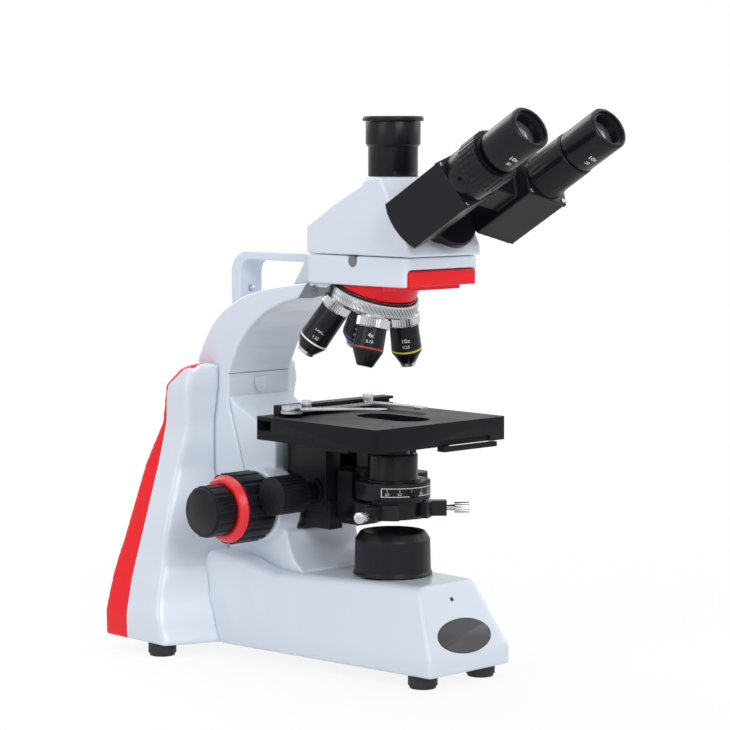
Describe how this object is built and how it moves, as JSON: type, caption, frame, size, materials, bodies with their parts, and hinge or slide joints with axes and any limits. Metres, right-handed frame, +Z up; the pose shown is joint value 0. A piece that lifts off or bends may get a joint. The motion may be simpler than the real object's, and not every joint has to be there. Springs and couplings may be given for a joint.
{
  "type": "trinocular compound microscope",
  "caption": "Upright trinocular compound microscope with a turning nosepiece, mechanical stage, lifting condenser, twin focus knobs, swinging eyepiece arms and a capped photo tube.",
  "frame": {"origin": "middle of the bounding box on the table under the feet", "axes": "+Z up, -Y towards the user at the eyepieces, +X to the user's right"},
  "size_m": [0.19, 0.3672, 0.3852],
  "materials": {
    "white_shell": "smooth satin white paint on cast metal",
    "red_shell": "smooth satin red paint",
    "red_plastic": "satin red plastic",
    "black_metal": "black anodised and painted metal, satin",
    "black_plastic": "satin black plastic",
    "rubber_feet": "matt",
    "chrome": "polished",
    "brushed_steel": "brushed",
    "brass": "machined",
    "glass": "coated optical glass",
    "grey_metal": "painted sheet",
    "heat_sink": "bare"
  },
  "bodies": {
    "stand": {"base_housing": "white_shell", "base_plate": "grey_metal", "feet": "rubber_feet", "lamp_collar": "black_plastic", "field_lens": "glass", "led_module": "heat_sink", "rear_pillar": "white_shell", "rear_trim": "red_shell", "rear_panel": "white_shell", "power_inlet": "black_plastic", "arm": "white_shell", "front_cover": "white_shell", "handle": "white_shell", "arm_screws": "brushed_steel", "nosepiece_bracket": "red_shell"},
    "power_switch": {"power_switch": "black_plastic"},
    "brightness_dial": {"brightness_dial": "black_plastic"},
    "head_lock_screw": {"head_lock_screw": "brushed_steel"},
    "coarse_focus": {"coarse_shaft": "brushed_steel", "coarse_knobs": "black_plastic"},
    "tension_ring": {"tension_ring": "red_plastic"},
    "fine_focus": {"fine_shaft": "brushed_steel", "fine_knobs": "black_plastic"},
    "stage_lift": {"stage_bracket": "black_metal", "focus_rack": "brass", "stage_carriage": "black_metal"},
    "stage": {"stage_plate": "black_metal", "stage_rail": "black_metal"},
    "stage_drive_knob": {"stage_drive_knob": "black_plastic"},
    "slide_drive_knob": {"slide_drive_knob": "black_plastic"},
    "slide_carrier": {"slide_holder": "brushed_steel", "holder_screws": "chrome"},
    "spring_finger": {"spring_finger": "chrome"},
    "condenser": {"condenser_carrier": "black_metal", "condenser_barrel": "black_metal", "condenser_lens": "glass", "centring_screws": "chrome"},
    "iris_ring": {"iris_ring": "black_metal"},
    "condenser_knob": {"condenser_knob": "black_plastic"},
    "turret": {"turret": "chrome", "objective_collars": "chrome", "objective_4x": "black_metal", "objective_10x": "black_metal", "objective_40x": "black_metal", "objective_100x": "black_metal", "objective_lenses": "glass"},
    "head": {"head_housing": "white_shell", "prism": "glass", "photo_tube": "black_metal", "hinge_hub": "black_metal"},
    "dust_cap": {"dust_cap": "black_plastic"},
    "left_arm": {"left_arm": "black_metal", "left_tube": "black_metal", "left_eyepiece": "black_metal", "left_eye_lens": "glass"},
    "right_arm": {"right_arm": "black_metal", "right_tube": "black_metal", "right_eyepiece": "black_metal", "right_eye_lens": "glass"},
    "dioptre_ring": {"dioptre_ring": "black_metal"}
  },
  "joints": [
    {"name": "switch_rock", "type": "hinge", "parent": "stand", "child": "power_switch", "pos_m": [-0.04, 0.17464, 0.036], "axis": [1, 0, 0], "range_deg": [0, 9]},
    {"name": "brightness_turn", "type": "hinge", "parent": "stand", "child": "brightness_dial", "pos_m": [0.0443, 0.02364, 0.04], "axis": [1, 0, 0], "range_deg": [-135, 135]},
    {"name": "lock_turn", "type": "hinge", "parent": "stand", "child": "head_lock_screw", "pos_m": [-0.028, -0.01236, 0.28345], "axis": [1, 0, 0], "range_deg": [-180, 180]},
    {"name": "coarse_turn", "type": "hinge", "parent": "stand", "child": "coarse_focus", "pos_m": [0, 0.07664, 0.109], "axis": [-1, 0, 0], "range_deg": [-14.5, 118.5]},
    {"name": "tension_turn", "type": "hinge", "parent": "stand", "child": "tension_ring", "pos_m": [0, 0.07664, 0.109], "axis": [1, 0, 0], "range_deg": [0, 90]},
    {"name": "fine_turn", "type": "hinge", "parent": "stand", "child": "fine_focus", "pos_m": [0, 0.07664, 0.109], "axis": [-1, 0, 0], "continuous": true},
    {"name": "stage_lift", "type": "slide", "parent": "stand", "child": "stage_lift", "axis": [0, 0, 1], "range_m": [-0.002, 0.0165]},
    {"name": "stage_y", "type": "slide", "parent": "stage_lift", "child": "stage", "axis": [0, 1, 0], "range_m": [-0.015, 0.015]},
    {"name": "stage_drive_turn", "type": "hinge", "parent": "stage", "child": "stage_drive_knob", "pos_m": [0.0493, 0.01664, 0.14], "axis": [0, 0, 1], "range_deg": [-108, 108]},
    {"name": "slide_drive_turn", "type": "hinge", "parent": "stage", "child": "slide_drive_knob", "pos_m": [0.0493, 0.01664, 0.105], "axis": [0, 0, 1], "range_deg": [-230, 230]},
    {"name": "slide_x", "type": "slide", "parent": "stage", "child": "slide_carrier", "axis": [1, 0, 0], "range_m": [-0.02, 0.02]},
    {"name": "finger_swing", "type": "hinge", "parent": "slide_carrier", "child": "spring_finger", "pos_m": [-0.046, 0.03624, 0.18], "axis": [0, 0, 1], "range_deg": [-28, 0], "stiffness_Nm_per_rad": 0.02, "springref_deg": 5.73},
    {"name": "condenser_lift", "type": "slide", "parent": "stage_lift", "child": "condenser", "axis": [0, 0, 1], "range_m": [-0.007, 0.011]},
    {"name": "iris_turn", "type": "hinge", "parent": "condenser", "child": "iris_ring", "pos_m": [0, -0.01636, 0.126], "axis": [0, 0, 1], "range_deg": [-30, 30]},
    {"name": "condenser_knob_turn", "type": "hinge", "parent": "stage_lift", "child": "condenser_knob", "pos_m": [-0.05, 0.03824, 0.121], "axis": [1, 0, 0], "range_deg": [-90.5, 57.8]},
    {"name": "turret_turn", "type": "hinge", "parent": "stand", "child": "turret", "pos_m": [0, 0.00431, 0.25002], "axis": [0, -0.342, 0.9397], "continuous": true},
    {"name": "head_turn", "type": "hinge", "parent": "stand", "child": "head", "pos_m": [0, -0.01636, 0.3], "axis": [0, 0, 1], "continuous": true},
    {"name": "cap_lift", "type": "slide", "parent": "head", "child": "dust_cap", "axis": [0, 0, 1], "range_m": [0, 0.12]},
    {"name": "left_arm_swing", "type": "hinge", "parent": "head", "child": "left_arm", "pos_m": [0, -0.11447, 0.3511], "axis": [0, -0.866, 0.5], "range_deg": [0, 34.6]},
    {"name": "right_arm_swing", "type": "hinge", "parent": "head", "child": "right_arm", "pos_m": [0, -0.11447, 0.3511], "axis": [0, -0.866, 0.5], "range_deg": [-34.7, 0]},
    {"name": "dioptre_turn", "type": "hinge", "parent": "left_arm", "child": "dioptre_ring", "pos_m": [-0.03757, -0.12057, 0.34053], "axis": [0, -0.866, 0.5], "range_deg": [-120, 120]}
  ],
  "couplings": [
    {"joint": "coarse_turn", "follows": "stage_lift", "rad_per_m": 125},
    {"joint": "stage_drive_turn", "follows": "stage_y", "rad_per_m": 125},
    {"joint": "slide_drive_turn", "follows": "slide_x", "rad_per_m": 200},
    {"joint": "condenser_knob_turn", "follows": "condenser_lift", "rad_per_m": -142.86},
    {"joint": "right_arm_swing", "follows": "left_arm_swing", "ratio": -1}
  ]
}
